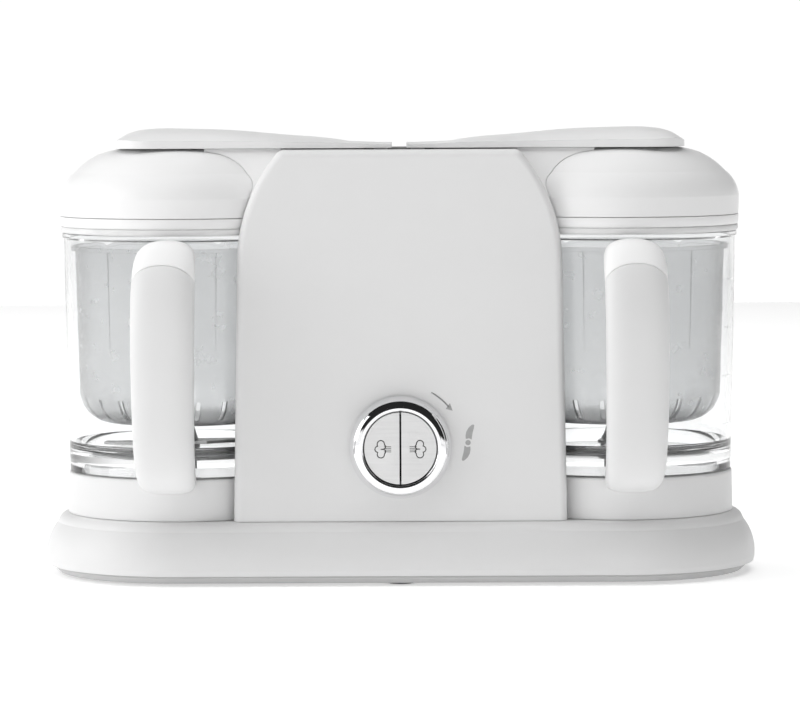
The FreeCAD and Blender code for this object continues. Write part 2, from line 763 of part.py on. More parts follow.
def make_knob():
    """Chrome ring on a carrier that turns in the front cover."""
    outer = dim["knob_radius"]
    bore = dim["knob_bore"]
    face = dim["tower_front"]
    ring = round_body("ring_turned", [
        (bore, face + 0.5), (outer - 0.6, face + 0.5), (outer, face + 1.4), (outer - 0.9, face + 4.0, 0.9),
        (bore + 2.2, face + 9.0, 0.5), (bore, face + 8.4)])
    stand_on_front(ring, "knob_ring")
    carrier = round_body("carrier_turned", [
        (bore + 0.9, face - 14.0), (bore + 3.2, face - 14.0), (bore + 3.2, face - 5.6), (bore + 6.0, face - 5.6),
        (bore + 6.0, face - 3.4), (bore + 3.2, face - 3.4), (bore + 3.2, face + 0.5), (bore + 0.9, face + 0.5)])
    stand_on_front(carrier, "knob_carrier")
    guide = round_body("guide_turned", [
        (dim["guide_bore"], face - 21.5), (bore + 0.3, face - 21.5), (bore + 0.3, face - 0.6), (bore - 0.3, face),
        (bore - 0.3, face + 3.0), (dim["guide_bore"], face + 3.0)])
    stand_on_front(guide, "button_guide")


def stand_on_front(body, label):
    """Lay a turned body on its side so that its top faces the user at the knob's centre."""
    body.Label = label + "_turned"
    holder = group(label + "_group", [body])
    body.Placement = FreeCAD.Placement(FreeCAD.Vector(0, 0, number(dim["knob_height"])),
                                       FreeCAD.Rotation(FreeCAD.Vector(1, 0, 0), 90))
    body.setExpression("Placement.Base.z", dim["knob_height"].text)
    keep(holder, label)


def make_button(side, word):
    """Half-round push button with a stem that reaches its switch."""
    face = dim["tower_front"]
    reach = dim["button_radius"]
    body = new_body(word + "_button_body")
    cap = new_sketch(body, word + "_button_cap", "XZ_Plane", face + 4.9)
    gap = 0.5
    half = math.sqrt(number(reach) ** 2 - gap ** 2)
    straight = side * gap
    if side > 0:
        draw_outline(cap, [(straight, -half, number(reach) - gap), (straight, half)])
    else:
        draw_outline(cap, [(straight, half, number(reach) - gap), (straight, -half)])
    pad(body, cap, 2.8)
    stem = new_sketch(body, word + "_button_stem", "XZ_Plane", face + 5.2)
    draw_box(stem, side * 9.0 - 3.0, side * 9.0 + 3.0, -3.0, 3.0)
    pad(body, stem, 19.0, reverse=True)
    keep(body, word + "_button", 0.0, 0.0, dim["knob_height"])


def make_button_springs():
    """Coil springs behind the buttons, drawn at the length they have when pressed."""
    wire = 0.45
    coil = 2.2
    height = 6.0
    springs = []
    for side, word in SIDES:
        helix = Part.makeHelix(1.5, height, coil)
        profile = Part.Wire([Part.makeCircle(wire, FreeCAD.Vector(coil, 0, 0), FreeCAD.Vector(0, 1, 0))])
        spring = doc.addObject("Part::Feature", word + "_spring_coil")
        spring.Shape = Part.Wire(helix.Edges).makePipeShell([profile], True, True)
        spring.Placement = FreeCAD.Placement(
            FreeCAD.Vector(side * 9.0, -number(dim["tower_front"]) + 14.6, number(dim["knob_height"]) + 8.0),
            FreeCAD.Rotation(FreeCAD.Vector(1, 0, 0), 90))
        springs.append(spring)
    keep(group("springs", springs), "button_springs")


# ---------------------------------------------------------------- bowls

def make_bowl(side, word):
    """Clear bowl: foot ring, thick floor with a hole for the blade, drafted wall and rim bead."""
    foot = dim["bowl_foot_radius"]
    rim = dim["bowl_rim_radius"]
    wall = dim["bowl_wall"]
    low = dim["bowl_bottom"]
    floor_top = dim["bowl_floor"]
    top = dim["bowl_rim"]
    body = round_body(word + "_bowl_turned", [
        (5.1, floor_top - 4.0), (foot - 6.0, floor_top - 4.0), (foot - 4.6, low), (foot, low, 0.2), (rim, top - 3.0),
        (rim + 1.0, top - 2.0), (rim + 1.0, top), (rim - wall, top), (foot - wall + 0.2, floor_top + 7.0, 1.9),
        (foot - wall - 6.0, floor_top), (9.5, floor_top), (9.5, floor_top + 2.0), (5.1, floor_top + 2.0)])
    x = dim["bowl_offset"] * side
    turn = dim["bowl_turn"] * side
    keep(body, word + "_bowl", x, 0.0, 0.0, turn)
    make_basket(side, word, x, turn)
    make_handle(side, word, x, turn)
    make_blade(side, word, x)


def make_basket(side, word, x, turn):
    """Steam basket: drafted cup with a flange, slots round the foot and holes in the floor."""
    low = dim["basket_bottom"]
    top = dim["basket_flange"]
    reach = dim["basket_radius"]
    wall = 1.6
    body = round_body(word + "_basket_turned", [
        (0.0, low), (reach - 17.0, low, 3.6), (reach - 2.0, low + 15.0), (reach, top - 2.0), (reach + 2.4, top - 2.0),
        (reach + 2.4, top), (reach - wall, top), (reach - 2.0 - wall, low + 15.4, -3.2),
        (reach - 17.4, low + wall), (0.0, low + wall)])
    slot = new_sketch(body, word + "_basket_slot", "XZ_Plane", reach - 24.0)
    draw_box(slot, -1.3, 1.3, low + 3.5, low + 14.0)
    polar(body, pocket(body, slot, 26.0, reverse=True), 24)
    vent = new_sketch(body, word + "_basket_vent", "XY_Plane", low - 1.0)
    draw_circle(vent, 0.0, 24.0, 2.6)
    polar(body, pocket(body, vent, 4.0, reverse=True), 12)
    keep(body, word + "_steam_basket", x, 0.0, 0.0, turn)


def rounded_wire(width, depth, corner):
    """A rounded rectangle about the origin, width along X and depth along Y."""
    x = width / 2.0
    y = depth / 2.0
    k = corner * (1.0 - math.sqrt(0.5))
    vec = FreeCAD.Vector
    edges = []
    for sx, sy in ((1, 1), (-1, 1), (-1, -1), (1, -1)):
        beside = vec(sx * x, sy * (y - corner), 0)
        middle = vec(sx * (x - k), sy * (y - k), 0)
        above = vec(sx * (x - corner), sy * y, 0)
        ends = (beside, above) if sx * sy > 0 else (above, beside)
        edges.append((ends[0], middle, ends[1]))
    shapes = []
    for index, (start, middle, finish) in enumerate(edges):
        shapes.append(Part.Arc(start, middle, finish).toShape())
        following = edges[(index + 1) % 4][0]
        shapes.append(Part.LineSegment(finish, following).toShape())
    return Part.Wire(shapes)


def handle_stations():
    """Centre line of the D-handle from rim to foot: reach, height, heading, width and depth."""
    reach = number(dim["handle_reach"]) - 8.0
    wide = number(dim["handle_width"])
    return (
        (reach - 34.5, 169.6, 0.0, wide - 9.0, 15.0),
        (reach - 25.5, 170.8, 0.0, wide - 4.0, 16.6),
        (reach - 15.0, 167.4, -30.0, wide - 1.0, 17.6),
        (reach - 6.4, 157.6, -57.0, wide, 17.2),
        (reach - 1.6, 142.0, -77.0, wide, 16.4),
        (reach, 119.0, -89.0, wide, 16.0),
        (reach - 0.9, 96.0, -95.0, wide - 0.6, 16.0),
        (reach - 4.0, 75.0, -105.0, wide - 1.4, 16.0),
        (reach - 10.4, 60.8, -127.0, wide - 2.4, 15.4),
        (reach - 20.5, 53.8, -158.0, wide - 4.0, 14.4),
        (reach - 34.5, 52.6, -180.0, wide - 7.0, 13.0),
    )


def station_wire(reach, height, lean, width, depth, corner):
    """A handle section across its centre line, which heads outwards and up by lean."""
    wire = rounded_wire(width, depth, corner)
    wire.rotate(FreeCAD.Vector(), FreeCAD.Vector(1, 0, 0), 90 - lean)
    wire.translate(FreeCAD.Vector(0, -reach, height))
    return wire


def make_handle(side, word, x, turn):
    """D-handle lofted along its centre line and trimmed to the bowl at both ends."""
    wires = [station_wire(*station, corner=6.4) for station in handle_stations()]
    grip = Part.makeLoft(wires, True, False)
    bowl_skin = Part.makeCone(number(dim["bowl_foot_radius"]) + 0.1, number(dim["bowl_rim_radius"]) + 0.1,
                              number(dim["bowl_rim"]) - number(dim["bowl_bottom"]),
                              FreeCAD.Vector(0, 0, number(dim["bowl_bottom"])))
    pedestal_skin = Part.makeCylinder(number(dim["pedestal_radius"]) + 1.2, number(dim["bowl_bottom"]) + 1.0)
    handle = grip.cut(bowl_skin).cut(pedestal_skin)
    piece = doc.addObject("Part::Feature", word + "_handle_shape")
    piece.Shape = handle
    keep(piece, word + "_handle", x, 0.0, 0.0, turn)


# how far each blade has been turned by hand, in degrees
BLADE_TURN = {"left": 8.0, "right": 82.0}


def make_blade(side, word, x):
    """Blade unit: hub on a spindle, two curved steel wings and the dog under the floor."""
    floor_top = number(dim["bowl_floor"])
    hub = round_body(word + "_hub_turned", [
        (0.0, DOG_FACE + DOG_TOOTH), (5.0, DOG_FACE + DOG_TOOTH), (5.0, floor_top + 2.2), (9.0, floor_top + 2.2), (9.0, floor_top + 4.4),
        (6.4, floor_top + 12.0, 0.8), (3.5, floor_top + 14.6), (0.0, floor_top + 14.6)])
    dog = new_sketch(hub, word + "_hub_dog", "XY_Plane", DOG_FACE + 1.7)
    sector(dog, 0.8, 13.4, 60.0, 14.0)
    polar(hub, pad(hub, dog, 3.0), 3)
    keep(hub, word + "_blade_hub", x)
    blade = new_body(word + "_blade_body")
    low = floor_top + 4.6
    wing = new_sketch(blade, word + "_wing", "XY_Plane", low)
    draw_outline(wing, [(0.0, -8.8), (12.0, -9.6, -3.0), (41.0, -4.0), (43.0, 3.0, 2.5), (10.0, 9.4), (0.0, 8.8)])
    polar(blade, pad(blade, wing, 1.6), 2)
    keep(blade, word + "_blade", x, 0.0, 0.0, BLADE_TURN[word])


# ---------------------------------------------------------------- lids

def dome_profile(inset):
    """Outside line of the dome from its lower edge to its flat top, moved in by inset."""
    edge = dim["lid_radius"] - inset
    shoulder = dim["lid_shoulder"]
    top = dim["dome_top"] - inset
    return [
        (edge - 0.3, dim["lid_parting"] + 0.2),
        (edge, shoulder, 1.55),
        (edge - 7.6, shoulder + 13.0 - inset * 0.5, 0.9),
        (edge - 21.6, top - 2.9, 0.5),
        (edge - 36.0, top),
    ]


def make_dome(side, word):
    outer = dome_profile(0.0)
    inner = dome_profile(2.2)
    outline = list(outer) + [(0.0, dim["dome_top"]), (0.0, dim["dome_top"] - 2.2)]
    for index in range(len(inner) - 1, -1, -1):
        bow = tuple(-sag for sag in inner[index - 1][2:]) if index > 0 else ()
        outline.append(inner[index][:2] + bow)
    body = round_body(word + "_dome_turned", outline)
    port = new_sketch(body, word + "_dome_port", "XY_Plane", 205.0)
    draw_circle(port, side * -52.0, 0.0, 8.0)
    pocket(body, port, 25.0, reverse=True)
    keep(body, word + "_dome", dim["bowl_offset"] * side)


def make_lid_rings(side, word):
    """Rim under the dome, soft gasket on the bowl's rim and the steam diffuser."""
    x = dim["bowl_offset"] * side
    low = dim["lid_bottom"]
    edge = dim["lid_radius"]
    rim = round_body(word + "_rim_turned", [
        (edge - 4.2, low), (edge - 1.2, low), (edge - 0.5, low + 1.0, 0.3), (edge - 0.3, dim["lid_parting"] - 0.2),
        (edge - 2.2, dim["lid_parting"] + 0.2), (edge - 4.2, dim["lid_parting"] + 0.2)])
    keep(rim, word + "_lid_rim", x)
    gasket = round_body(word + "_gasket_turned", [
        (edge - 4.4, low - 3.3), (edge - 1.4, low - 3.3), (edge - 0.7, low - 2.6, 0.3), (edge - 0.7, low - 0.1),
        (edge - 4.4, low - 0.1)])
    keep(gasket, word + "_lid_gasket", x)
    plate = round_body(word + "_diffuser_turned", [
        (0.0, low + 1.0), (12.0, low - 3.0), (16.0, low - 3.0), (26.0, low + 1.4), (edge - 4.4, low + 1.4),
        (edge - 4.4, low + 3.0), (25.0, low + 3.0), (15.0, low - 1.2), (12.6, low - 1.2), (0.0, low + 2.8)])
    hole = new_sketch(plate, word + "_diffuser_hole", "XY_Plane", low - 4.0)
    draw_circle(hole, 14.0, 0.0, 1.4)
    polar(plate, pocket(plate, hole, 6.0, reverse=True), 8)
    keep(plate, word + "_steam_diffuser", x)


ARM_STATIONS = (
    # share of the arm's length, crown below the highest point, edge above the underside
    (0.0, 9.2, 1.9),
    (0.18, 6.6, 2.8),
    (0.38, 3.5, 3.4),
    (0.58, 0.9, 3.8),
    (0.76, 0.0, 4.0),
    (0.90, 0.5, 4.0),
    (0.965, 3.2, 3.6),
    (1.0, 7.0, 3.0),
)


def arm_loft(name, side, inset, stations):
    """The arm's crowned form: flat below, upright edges and an arched top."""
    body = new_body(name)
    sketches = []
    length = dim["arm_end"] - dim["arm_tip"]
    half = dim["arm_half_depth"] - inset
    low = dim["arm_underside"]
    for index, (share, drop, edge) in enumerate(stations):
        x = (dim["arm_tip"] + length * share) * side
        sketch = new_sketch(body, "%s_station_%d" % (name, index + 1), "YZ_Plane", x)
        side_top = low + edge - inset * 0.5
        crown = dim["arm_crown"] - drop - inset
        sag = number(crown) - number(side_top)
        draw_outline(sketch, [(-half, low), (half, low), (half, side_top, sag), (-half, side_top)])
        sketches.append(sketch)
    loft = body.newObject("PartDesign::AdditiveLoft", name + "_loft")
    loft.Profile = sketches[0]
    loft.Sections = sketches[1:]
    doc.recompute()
    return body


def make_arm(side, word):
    """Crowned arm plate with rounded outer corners and the hinge knuckles at its tip."""
    solid = arm_loft(word + "_arm_solid", side, 0.0, ARM_STATIONS)
    corner = 20.0
    half = dim["arm_half_depth"]
    far = dim["arm_end"]
    trim = new_sketch(solid, word + "_arm_corners", "XY_Plane", dim["arm_underside"] - 1.0)
    outline = []
    for depth in (-1, 1):
        points = [((far - corner) * side, half * depth), ((far + 2.0) * side, half * depth + 2.0 * depth),
                  (far * side, (half - corner) * depth, 5.86 * side * depth)]
        outline.append(points)
    for points in outline:
        draw_outline(trim, points)
    pocket(solid, trim, 20.0, reverse=True)
    inner = arm_loft(word + "_arm_space", side, 2.2, ARM_STATIONS[1:-2])
    offset = dim["hinge_offset"] * side
    level = dim["hinge_height"]
    pieces = [cut(word + "_arm_shell", solid, [inner])]
    for index, near in enumerate((-29.6, 3.9), start=1):
        name = "%s_knuckle_%d" % (word, index)
        pieces.append(lying_cylinder(name, 3.6, 25.7, offset, near, level))
        pieces.append(box(name + "_web", (offset - 3.6, near, level), (offset + 3.6, near + 25.7, 227.2)))
    pin_hole = lying_cylinder(word + "_arm_pin_hole", dim["pin_radius"] + 0.06, 90.0, offset, -45.0, level)
    keep(cut(word + "_arm_cut", fuse(word + "_arm_fused", pieces), [pin_hole]), word + "_arm_plate")


def make_arm_floor(side, word):
    """Plate that closes the arm from below, with ports for filling and for steam."""
    low = dim["arm_underside"]
    near = 33.0 if side > 0 else -136.0
    half = dim["arm_half_depth"] - 4.0
    floor = box(word + "_floor_blank", (near, -half, low), (near + 103.0, half, low + 1.8))
    filler = cylinder(word + "_floor_filler", 8.0, 6.0, dim["tank_offset"] * side + 6.0 * side, 8.0, low - 2.0)
    steam = cylinder(word + "_floor_steam", 8.0, 6.0, (dim["bowl_offset"] - 52.0) * side, 0.0, low - 2.0)
    keep(cut(word + "_floor_cut", floor, [filler, steam]), word + "_arm_floor")


def make_duct(side, word):
    """Steam duct between arm and dome, with flared front and back walls."""
    body = new_body(word + "_duct_body")
    wide = new_sketch(body, word + "_duct_low", "XY_Plane", 201.0)
    narrow = new_sketch(body, word + "_duct_high", "XY_Plane", dim["arm_underside"] - 0.1)
    for sketch, half, far in ((wide, 53.5, 100.0), (narrow, dim["arm_half_depth"] - 2.5, 104.0)):
        left, right = (50.0, far) if side > 0 else (-far, -50.0)
        draw_box(sketch, left, right, -half, half)
    loft = body.newObject("PartDesign::AdditiveLoft", word + "_duct_loft")
    loft.Profile = wide
    loft.Sections = [narrow]
    x = dim["bowl_offset"] * side
    around = cylinder(word + "_duct_limit", dim["scoop_radius"] - 0.8, 60.0, x, 0.0, 190.0)
    dome = round_body(word + "_dome_fill", [(0.0, 180.0), (dim["lid_radius"], 180.0)] + dome_profile(-0.1)[1:]
                      + [(0.0, dim["dome_top"] + 0.1)])
    place(dome, x)
    port = cylinder(word + "_duct_port", 8.0, 60.0, x - 52.0 * side, 0.0, 190.0)
    block = common(word + "_duct_block", body, around)
    keep(cut(word + "_duct_cut", block, [dome, port]), word + "_steam_duct")


# ---------------------------------------------------------------- build and write

def check_and_write():
    doc.recompute()
    failed = [item.Name for item in doc.Objects if "Invalid" in item.State or "Error" in item.State]
    if failed:
        raise ValueError("failed features: %s" % ", ".join(failed))
    for item in subparts:
        if item.Shape.isNull() or not item.Shape.isValid() or not item.Shape.Solids:
            raise ValueError("%s has no valid solid" % item.Label)
    os.makedirs("parts", exist_ok=True)
    for item in subparts:
        item.Shape.exportStep("parts/%s.step" % item.Label)
    whole = Part.makeCompound([item.Shape for item in subparts]).BoundBox
    print("%d sub-parts" % len(subparts))
    print("box x %.2f %.2f  y %.2f %.2f  z %.2f %.2f" % (
        whole.XMin, whole.XMax, whole.YMin, whole.YMax, whole.ZMin, whole.ZMax))


make_base()
make_bushes()
make_tower()
make_hinges()
make_tanks()
make_heat()
make_motors()
make_belts()
make_electrics()
make_knob()
make_button_springs()
for side, word in SIDES:
    make_pedestal(side, word)
    make_drive(side, word)
    make_button(side, word)
    make_bowl(side, word)
    make_dome(side, word)
    make_lid_rings(side, word)
    make_arm(side, word)
    make_arm_floor(side, word)
    make_duct(side, word)
check_and_write()
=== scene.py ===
"""Looks of the twin-bowl baby food maker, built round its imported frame.

The frame's own axes are kept: +Z up, +X to the user's right, -Y towards the user. Places in the scene
are in metres. The shapes of mouldings and printed marks are given in millimetres, and MM turns them
into metres.
"""
import json
import math

import bpy
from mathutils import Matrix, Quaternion, Vector


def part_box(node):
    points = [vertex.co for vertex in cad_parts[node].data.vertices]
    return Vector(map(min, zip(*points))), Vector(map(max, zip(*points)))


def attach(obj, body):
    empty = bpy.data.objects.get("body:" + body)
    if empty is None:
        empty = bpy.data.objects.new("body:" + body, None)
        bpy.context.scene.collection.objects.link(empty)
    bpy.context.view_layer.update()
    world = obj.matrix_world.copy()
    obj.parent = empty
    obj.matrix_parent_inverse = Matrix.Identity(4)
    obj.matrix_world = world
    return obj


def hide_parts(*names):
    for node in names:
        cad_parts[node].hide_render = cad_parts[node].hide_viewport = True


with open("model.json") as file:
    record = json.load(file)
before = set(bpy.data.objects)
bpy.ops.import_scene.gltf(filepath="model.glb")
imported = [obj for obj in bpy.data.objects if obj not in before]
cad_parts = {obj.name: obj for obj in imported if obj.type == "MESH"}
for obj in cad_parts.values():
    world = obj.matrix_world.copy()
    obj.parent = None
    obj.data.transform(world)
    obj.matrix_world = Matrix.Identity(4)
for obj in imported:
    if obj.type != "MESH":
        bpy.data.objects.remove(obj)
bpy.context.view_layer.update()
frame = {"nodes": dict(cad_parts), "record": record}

MM = 0.001
SIDES = ((-1, "left"), (1, "right"))
NODES = frame["nodes"]


# ---------------------------------------------------------------- places read from the frame

def middle_of(node):
    low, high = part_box(node)
    return (low + high) / 2.0


BASE_MIDDLE = middle_of("base_shell")
KNOB_MIDDLE = middle_of("knob_ring")
TOWER_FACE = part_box("tower_front_cover")[0].y
BUTTON_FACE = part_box("left_button")[0].y
BOWL_AXIS = {word: middle_of(word + "_bowl") for _, word in SIDES}


def round_bowl(word, radius, height, angle):
    """A point round a bowl's axis. Angle 0 faces the user and grows towards +X."""
    axis = BOWL_AXIS[word]
    return Vector((axis.x + radius * math.sin(angle), axis.y - radius * math.cos(angle), height))


def between(first, last, share):
    return first + (last - first) * share


# ---------------------------------------------------------------- node helpers

EVEN = (1.0, 1.0, 1.0)
NOISE_RANGE = (0.3, 0.7)


def shade(tone, tint=EVEN):
    return tuple(tone * part for part in tint)


class Shader:
    """A Principled material and the few node patterns that the pieces share."""

    def __init__(self, name, color, roughness, **settings):
        self.material = bpy.data.materials.new(name)
        self.material.use_nodes = True
        self.tree = self.material.node_tree
        self.surface = self.tree.nodes["Principled BSDF"]
        self.set("Base Color", (*color, 1.0))
        self.set("Roughness", roughness)
        for socket, value in settings.items():
            self.set(socket.replace("_", " "), value)
        self.coords = self.node("ShaderNodeTexCoord").outputs["Object"]

    def node(self, kind, **settings):
        made = self.tree.nodes.new(kind)
        for key, value in settings.items():
            setattr(made, key, value)
        return made

    def link(self, source, target):
        self.tree.links.new(source, target)

    def set(self, socket, value):
        self.surface.inputs[socket].default_value = value

    def noise(self, scale, detail=2.0, stretch=EVEN):
        """Noise over the object's own coordinates. Scale is in features per metre."""
        mapping = self.node("ShaderNodeMapping")
        mapping.inputs["Scale"].default_value = stretch
        self.link(self.coords, mapping.inputs["Vector"])
        texture = self.node("ShaderNodeTexNoise")
        texture.inputs["Scale"].default_value = scale
        texture.inputs["Detail"].default_value = detail
        self.link(mapping.outputs["Vector"], texture.inputs["Vector"])
        return texture.outputs["Fac"]

    def spread(self, source, low, high):
        """Map the middle of a noise value's range onto low to high."""
        spread = self.node("ShaderNodeMapRange")
        spread.inputs["From Min"].default_value = NOISE_RANGE[0]
        spread.inputs["From Max"].default_value = NOISE_RANGE[1]
        spread.inputs["To Min"].default_value = low
        spread.inputs["To Max"].default_value = high
        self.link(source, spread.inputs["Value"])
        return spread.outputs["Result"]

    def vary_roughness(self, scale, low, high, stretch=EVEN):
        pattern = self.noise(scale, 3.0, stretch)
        self.link(self.spread(pattern, low, high), self.surface.inputs["Roughness"])

    def vary_color(self, first, second, scale, stretch=EVEN):
        mix = self.node("ShaderNodeMix", data_type="RGBA")
        mix.inputs["A"].default_value = (*first, 1.0)
        mix.inputs["B"].default_value = (*second, 1.0)
        pattern = self.noise(scale, 4.0, stretch)
        self.link(self.spread(pattern, 0.0, 1.0), mix.inputs["Factor"])
        self.link(mix.outputs["Result"], self.surface.inputs["Base Color"])

    def soft_edges(self, radius):
        """Rounded-looking edges of this radius in metres, as a moulded piece has."""
        bevel = self.node("ShaderNodeBevel", samples=4)
        bevel.inputs["Radius"].default_value = radius
        return bevel.outputs["Normal"]

    def bump(self, heights, normal=None):
        """Bump from (value, depth in metres) pairs, stacked on a normal."""
        for value, depth in heights:
            bump = self.node("ShaderNodeBump")
            bump.inputs["Distance"].default_value = depth
            bump.inputs["Strength"].default_value = 1.0
            self.link(value, bump.inputs["Height"])
            if normal is not None:
                self.link(normal, bump.inputs["Normal"])
            normal = bump.outputs["Normal"]
        self.link(normal, self.surface.inputs["Normal"])


# ---------------------------------------------------------------- materials

EDGE_RADIUS = 0.5 * MM
FLOW_DEPTH = 0.02 * MM


def moulded_plastic(name, tone, roughness, grain, tint=EVEN):
    """Spark-eroded moulded plastic: fine grain, faint flow marks and uneven gloss."""
    skin = Shader(name, shade(tone, tint), roughness, Specular_IOR_Level=0.5)
    skin.vary_color(shade(tone * 0.985, tint), shade(tone, tint), 22.0)
    skin.vary_roughness(160.0, roughness - 0.04, roughness + 0.05)
    fine_grain = (skin.noise(2600.0, 2.0), grain)
    flow_marks = (skin.noise(38.0, 1.0), FLOW_DEPTH)
    skin.bump([fine_grain, flow_marks], skin.soft_edges(EDGE_RADIUS))
    return skin.material


def clear_plastic():
    """Clear moulded plastic with a trace of unevenness in its polish."""
    skin = Shader("clear_moulded_plastic", (0.945, 0.95, 0.952), 0.02,
                  IOR=1.47, Transmission_Weight=1.0)
    skin.vary_roughness(45.0, 0.01, 0.03)
    return skin.material


def milky_plastic():
    """Translucent plastic that scatters what stands behind it."""
    skin = Shader("milky_translucent_plastic", (0.96, 0.965, 0.97), 0.24,
                  IOR=1.2, Transmission_Weight=0.88)
    skin.vary_roughness(120.0, 0.2, 0.28)
    skin.vary_color((0.95, 0.957, 0.963), (0.975, 0.98, 0.982), 30.0)
    return skin.material


def printed_ink(name, tone):
    """Pad-printed ink that covers a little unevenly."""
    skin = Shader(name, shade(tone), 0.45)
    skin.vary_color(shade(tone * 0.9), shade(tone), 400.0)
    skin.vary_roughness(600.0, 0.4, 0.52)
    return skin.material


def polished_chrome():
    """Plated chrome with the faint waviness of the moulding under it."""
    skin = Shader("polished_chrome", (0.9, 0.9, 0.91), 0.05, Metallic=1.0)
    skin.vary_roughness(90.0, 0.03, 0.07)
    skin.bump([(skin.noise(70.0, 1.0), 0.01 * MM)])
    return skin.material


def brushed_metal(name, tone, roughness, stretch, depth=0.02 * MM):
    """Metal with fine drawn lines along the axis whose stretch is smallest."""
    skin = Shader(name, shade(tone), roughness, Metallic=1.0)
    skin.vary_roughness(900.0, roughness - 0.06, roughness + 0.08, stretch)
    skin.vary_color(shade(tone * 0.93), shade(tone), 700.0, stretch)
    skin.bump([(skin.noise(1400.0, 3.0, stretch), depth)])
    return skin.material


def soft_rubber(name, tone, roughness=0.7):
    """Matt rubber or silicone with a fine moulded texture."""
    skin = Shader(name, shade(tone), roughness, Specular_IOR_Level=0.3)
    skin.vary_color(shade(tone * 0.9), shade(tone), 60.0)
    skin.vary_roughness(300.0, roughness - 0.06, roughness + 0.08)
    skin.bump([(skin.noise(1800.0, 3.0), 0.06 * MM)])
    return skin.material


def ribbed_belt():
    """Black rubber belt with level ribs."""
    skin = Shader("ribbed_belt", (0.02, 0.02, 0.021), 0.6, Specular_IOR_Level=0.3)
    skin.vary_roughness(400.0, 0.5, 0.7)
    skin.bump([(skin.noise(700.0, 1.0, (0.1, 0.1, 1.0)), 0.2 * MM)])
    return skin.material


def circuit_board():
    """Black solder mask over raised tracks."""
    skin = Shader("black_solder_mask", (0.02, 0.02, 0.022), 0.35)
    skin.vary_color((0.012, 0.012, 0.014), (0.03, 0.03, 0.033), 120.0, (1.0, 1.0, 4.0))
    skin.vary_roughness(500.0, 0.3, 0.45)
    skin.bump([(skin.noise(420.0, 1.0, (1.0, 1.0, 6.0)), 0.08 * MM)])
    return skin.material


TURNED = (1.0, 1.0, 0.1)
GROUND = (0.15, 1.0, 1.0)
DRAWN = (0.05, 1.0, 1.0)
BLUISH = (0.98, 1.0, 1.0)

MATERIALS = {
    # moulded plastics: name, tone, roughness and depth of grain
    "white_shell": moulded_plastic("white_shell_plastic", 0.78, 0.42, 0.02 * MM),
    "white_lid": moulded_plastic("white_lid_plastic", 0.87, 0.34, 0.01 * MM),
    "white_handle": moulded_plastic("white_handle_plastic", 0.77, 0.4, 0.02 * MM),
    # painted light: the handle's top cap is the grip's white plastic made lighter, standing in for the
    # light that falls on the handle's top
    "white_cap": moulded_plastic("white_cap_painted_light_plastic", 0.92, 0.34, 0.01 * MM),
    "pale_tray": moulded_plastic("pale_tray_plastic", 0.55, 0.5, 0.04 * MM),
    "grey_plastic": moulded_plastic("grey_plastic", 0.4, 0.5, 0.05 * MM),
    "dark_plastic": moulded_plastic("dark_plastic", 0.05, 0.42, 0.05 * MM),
    "tank_plastic": moulded_plastic("tank_plastic", 0.72, 0.3, 0.02 * MM, BLUISH),
    "foot_rubber": soft_rubber("foot_rubber", 0.12),
    "seal_rubber": soft_rubber("white_silicone", 0.8, 0.5),
    "belt_rubber": ribbed_belt(),
    # metals: name, tone, roughness and direction of the tool marks
    "steel": brushed_metal("machined_steel", 0.6, 0.32, TURNED),
    "blade_steel": brushed_metal("ground_steel", 0.5, 0.3, GROUND),
    "brass": brushed_metal("turned_brass", 0.6, 0.3, TURNED),
    "circuit_board": circuit_board(),
    "chrome": polished_chrome(),
    "satin_silver": brushed_metal("satin_silver", 0.74, 0.34, DRAWN, 0.01 * MM),
    "dark_ink": printed_ink("dark_printed_ink", 0.2),
    "pale_ink": printed_ink("pale_printed_ink", 0.42),
    "clear_bowl": clear_plastic(),
    "milky_basket": milky_plastic(),
}


def dress_frame():
    """Give every CAD node the finish of its slot."""
    for part in frame["record"]["subparts"]:
        node = NODES[part["node"]]
        node.data.materials.clear()
        node.data.materials.append(MATERIALS[part["material_slot"]])
        for face in node.data.polygons:
            face.material_index = 0


# ---------------------------------------------------------------- meshes

def mesh_piece(name, points, faces, material, body, slot, smooth=True):
    """A finished piece that moves with a CAD body."""
    mesh = bpy.data.meshes.new(name)
    mesh.from_pydata([tuple(point) for point in points], [], faces)
    mesh.validate()
    for face in mesh.polygons:
        face.use_smooth = smooth
    piece = bpy.data.objects.new(name, mesh)
    bpy.context.scene.collection.objects.link(piece)
    mesh.materials.append(material)
    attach(piece, body)
    return piece


def tube_of_rings(rings):
    """Points and faces of a closed solid through rings of equal length."""
    count = len(rings[0])
    points = [point for ring in rings for point in ring]
    faces = []
    for row in range(len(rings) - 1):
        for index in range(count):
            following = (index + 1) % count
            faces.append((row * count + index, row * count + following,
                          (row + 1) * count + following, (row + 1) * count + index))
    faces.append(tuple(reversed(range(count))))
    faces.append(tuple(range((len(rings) - 1) * count, len(rings) * count)))
    return points, faces


def join(parts):
    """Several sets of points and faces as one."""
    points = []
    faces = []
    for some_points, some_faces in parts:
        start = len(points)
        points += some_points
        faces += [tuple(index + start for index in face) for face in some_faces]
    return points, faces


# ---------------------------------------------------------------- handles

HANDLE_LINE = (
    # centre line in mm: reach from the bowl's axis, height, then width, depth and power of the section
    (61.0, 172.9, 25.0, 15.0, 2.5),
    (70.0, 174.3, 29.6, 16.8, 2.3),
    (80.5, 170.9, 32.2, 17.8, 2.3),
    (89.1, 160.9, 33.0, 17.4, 2.5),
    (93.9, 145.3, 33.2, 16.6, 2.7),
    (95.5, 122.3, 33.0, 16.0, 2.8),
    (94.6, 99.3, 32.6, 16.0, 2.8),
    (91.5, 78.3, 32.0, 16.0, 3.0),
    (85.1, 64.1, 31.2, 15.6, 3.2),
    (75.0, 57.1, 29.6, 14.6, 3.2),
    (61.0, 55.9, 27.0, 13.2, 3.2),
)
HANDLE_TURN = math.radians(3.3)
STEPS = 8
AROUND = 72
HEADING_STEP = 0.05

